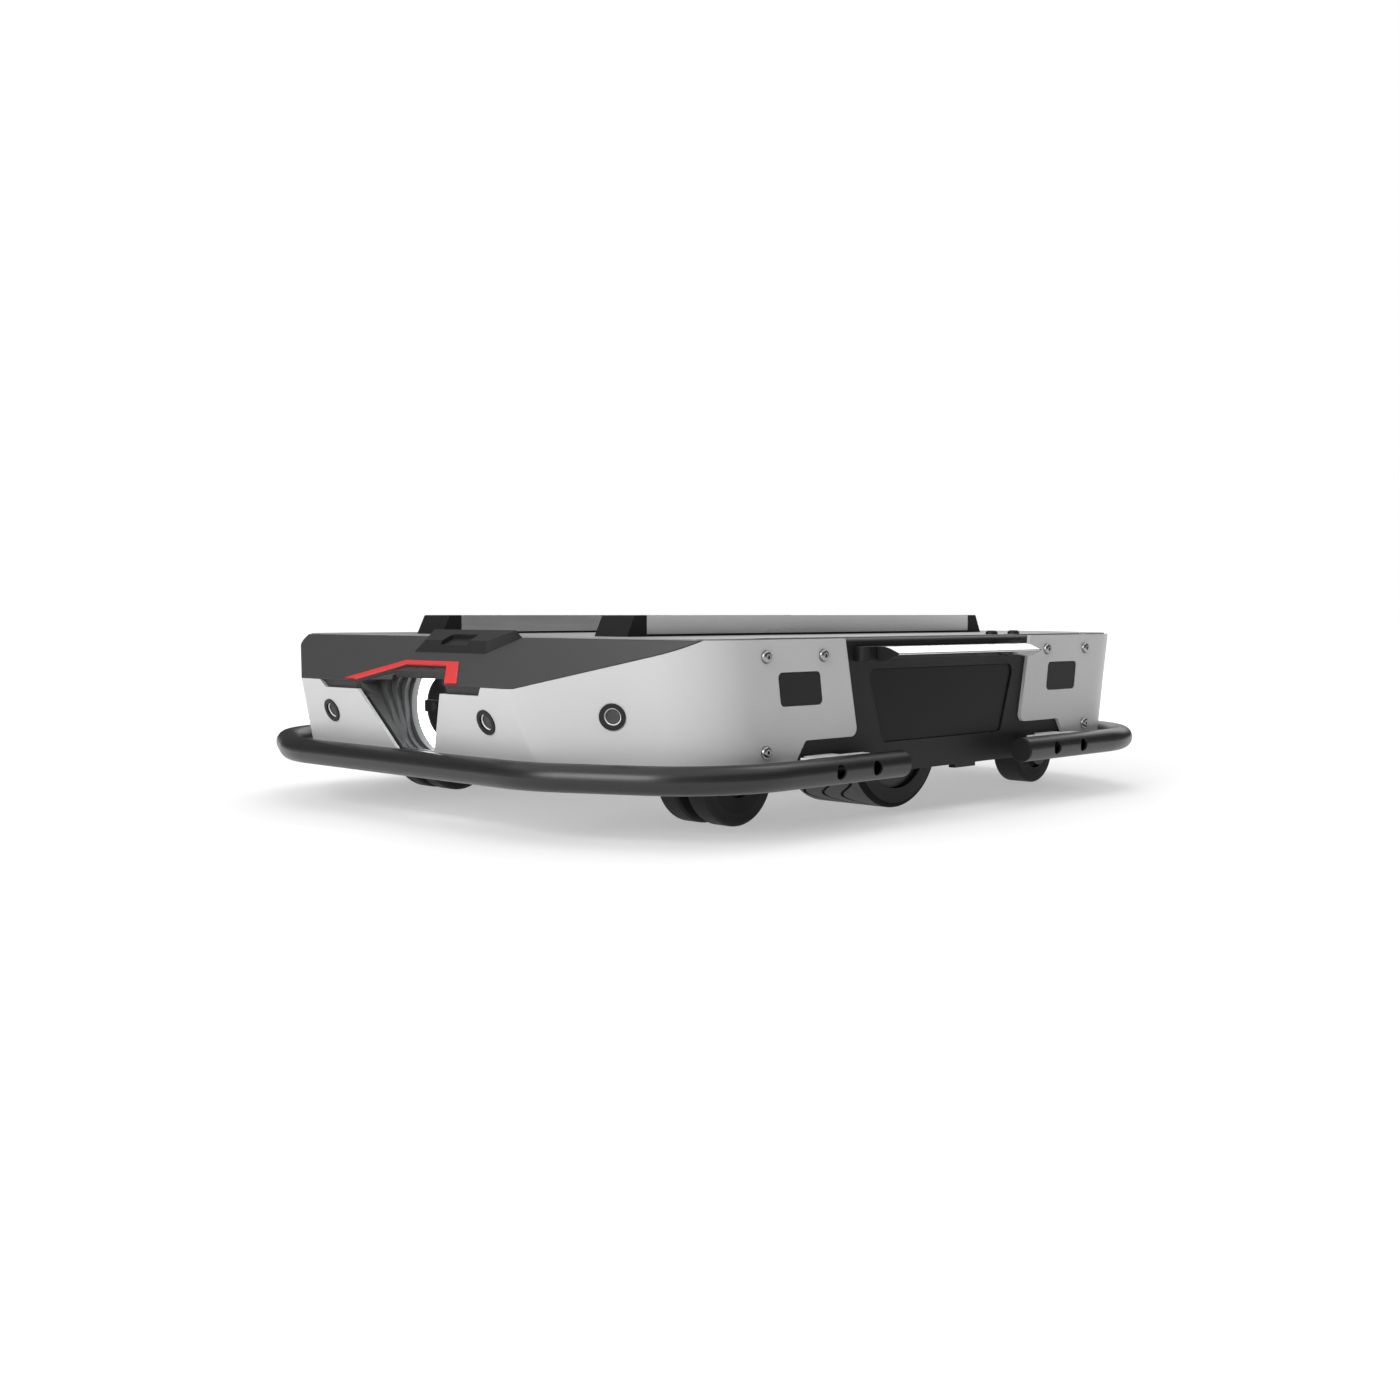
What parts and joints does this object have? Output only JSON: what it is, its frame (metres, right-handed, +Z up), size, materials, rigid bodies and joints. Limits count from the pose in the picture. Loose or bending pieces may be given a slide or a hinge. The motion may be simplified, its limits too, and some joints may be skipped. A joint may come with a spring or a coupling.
{
  "type": "automated guided vehicle",
  "caption": "Low automated guided vehicle with a flat deck, top rails, sprung drive wheels, swivel casters, tube bumpers and side handle bars.",
  "frame": {"origin": "on the floor, below the middle of the bumpers' outline", "axes": "+X forward to the lamp end, +Y to the left, +Z up"},
  "size_m": [0.692, 0.57, 0.156],
  "materials": {
    "white_shell": "satin",
    "grey_cover": "matte",
    "black_plastic": "satin",
    "black_gloss": "gloss",
    "red_plastic": "satin",
    "red_lens": "gloss",
    "white_light": "gloss",
    "lens_glass": "gloss",
    "sensor_grey": "matte",
    "bumper_paint": "satin",
    "chassis_paint": "satin",
    "aluminium": "satin",
    "light_paint": "satin",
    "bright_metal": "gloss",
    "steel": "satin",
    "battery_case": "matte",
    "controller_case": "matte",
    "hub_black": "matte",
    "drive_tyre": "matte",
    "caster_tread": "matte"
  },
  "bodies": {
    "chassis": {"front_shell": "white_shell", "rear_shell": "white_shell", "hood": "grey_cover", "visor": "grey_cover", "left_skirt": "black_plastic", "right_skirt": "black_plastic", "hood_grip": "black_plastic", "lamp_funnel": "black_plastic", "handle_posts": "black_plastic", "rail_end_caps": "black_plastic", "bumper_plugs": "black_plastic", "rear_panel": "black_plastic", "sensor_bezels": "black_plastic", "connector_caps": "black_plastic", "charge_cap": "black_plastic", "stop_collar": "black_plastic", "side_inserts": "black_gloss", "lamp_disc": "black_gloss", "display_window": "black_gloss", "red_trim": "red_plastic", "rear_light": "red_lens", "light_ring": "white_light", "lamp_lenses": "lens_glass", "sensor_faces": "sensor_grey", "front_bumper": "bumper_paint", "rear_bumper": "bumper_paint", "chassis_frame": "chassis_paint", "base_tray": "chassis_paint", "deck_plate": "chassis_paint", "left_rail": "aluminium", "right_rail": "aluminium", "bumper_brackets": "light_paint", "handle_bars": "bright_metal", "shell_screws": "bright_metal", "bumper_bolts": "steel", "rail_screws": "steel", "pivot_pins": "steel", "caster_plates": "steel", "left_spring": "steel", "right_spring": "steel", "battery": "battery_case", "control_box": "controller_case"},
    "left_arm": {"left_swing_arm": "aluminium"},
    "left_drive_wheel": {"left_tyre": "drive_tyre", "left_hub": "hub_black"},
    "left_front_swivel": {"left_front_fork": "steel"},
    "left_front_outer_wheel_body": {"left_front_outer_wheel": "caster_tread"},
    "left_front_inner_wheel_body": {"left_front_inner_wheel": "caster_tread"},
    "left_rear_swivel": {"left_rear_fork": "steel"},
    "left_rear_wheel_body": {"left_rear_wheel": "caster_tread"},
    "right_arm": {"right_swing_arm": "aluminium"},
    "right_drive_wheel": {"right_tyre": "drive_tyre", "right_hub": "hub_black"},
    "right_front_swivel": {"right_front_fork": "steel"},
    "right_front_outer_wheel_body": {"right_front_outer_wheel": "caster_tread"},
    "right_front_inner_wheel_body": {"right_front_inner_wheel": "caster_tread"},
    "right_rear_swivel": {"right_rear_fork": "steel"},
    "right_rear_wheel_body": {"right_rear_wheel": "caster_tread"},
    "stop": {"stop_button": "red_plastic"},
    "power": {"power_button": "sensor_grey"}
  },
  "joints": [
    {"name": "left_suspension", "type": "hinge", "parent": "chassis", "child": "left_arm", "pos_m": [0.095, 0.108, 0.07], "axis": [0, 1, 0], "range_deg": [-4, 5], "stiffness_Nm_per_rad": 20, "springref_deg": -20.05, "deforming": ["left_spring"]},
    {"name": "left_drive", "type": "hinge", "parent": "left_arm", "child": "left_drive_wheel", "pos_m": [0, 0.171, 0.056], "axis": [0, 1, 0], "continuous": true},
    {"name": "left_front_swivel_turn", "type": "hinge", "parent": "chassis", "child": "left_front_swivel", "pos_m": [0.20345, 0.171, 0.1], "axis": [0, 0, 1], "continuous": true},
    {"name": "left_front_outer_wheel_roll", "type": "hinge", "parent": "left_front_swivel", "child": "left_front_outer_wheel_body", "pos_m": [0.17245, 0.18635, 0.0375], "axis": [0, 1, 0], "continuous": true},
    {"name": "left_front_inner_wheel_roll", "type": "hinge", "parent": "left_front_swivel", "child": "left_front_inner_wheel_body", "pos_m": [0.17245, 0.15565, 0.0375], "axis": [0, 1, 0], "continuous": true},
    {"name": "left_rear_swivel_turn", "type": "hinge", "parent": "chassis", "child": "left_rear_swivel", "pos_m": [-0.20345, 0.171, 0.1], "axis": [0, 0, 1], "continuous": true},
    {"name": "left_rear_wheel_roll", "type": "hinge", "parent": "left_rear_swivel", "child": "left_rear_wheel_body", "pos_m": [-0.24295, 0.171, 0.03], "axis": [0, 1, 0], "continuous": true},
    {"name": "right_suspension", "type": "hinge", "parent": "chassis", "child": "right_arm", "pos_m": [0.095, -0.108, 0.07], "axis": [0, 1, 0], "range_deg": [-4, 5], "stiffness_Nm_per_rad": 20, "springref_deg": -20.05, "deforming": ["right_spring"]},
    {"name": "right_drive", "type": "hinge", "parent": "right_arm", "child": "right_drive_wheel", "pos_m": [0, -0.171, 0.056], "axis": [0, 1, 0], "continuous": true},
    {"name": "right_front_swivel_turn", "type": "hinge", "parent": "chassis", "child": "right_front_swivel", "pos_m": [0.20345, -0.171, 0.1], "axis": [0, 0, 1], "continuous": true},
    {"name": "right_front_outer_wheel_roll", "type": "hinge", "parent": "right_front_swivel", "child": "right_front_outer_wheel_body", "pos_m": [0.17245, -0.18635, 0.0375], "axis": [0, 1, 0], "continuous": true},
    {"name": "right_front_inner_wheel_roll", "type": "hinge", "parent": "right_front_swivel", "child": "right_front_inner_wheel_body", "pos_m": [0.17245, -0.15565, 0.0375], "axis": [0, 1, 0], "continuous": true},
    {"name": "right_rear_swivel_turn", "type": "hinge", "parent": "chassis", "child": "right_rear_swivel", "pos_m": [-0.20345, -0.171, 0.1], "axis": [0, 0, 1], "continuous": true},
    {"name": "right_rear_wheel_roll", "type": "hinge", "parent": "right_rear_swivel", "child": "right_rear_wheel_body", "pos_m": [-0.24295, -0.171, 0.03], "axis": [0, 1, 0], "continuous": true},
    {"name": "stop_press", "type": "slide", "parent": "chassis", "child": "stop", "axis": [1, 0, 0], "range_m": [0, 0.004]},
    {"name": "power_press", "type": "slide", "parent": "chassis", "child": "power", "axis": [1, 0, 0], "range_m": [0, 0.002], "stiffness_N_per_m": 800, "springref_m": -0.002}
  ]
}
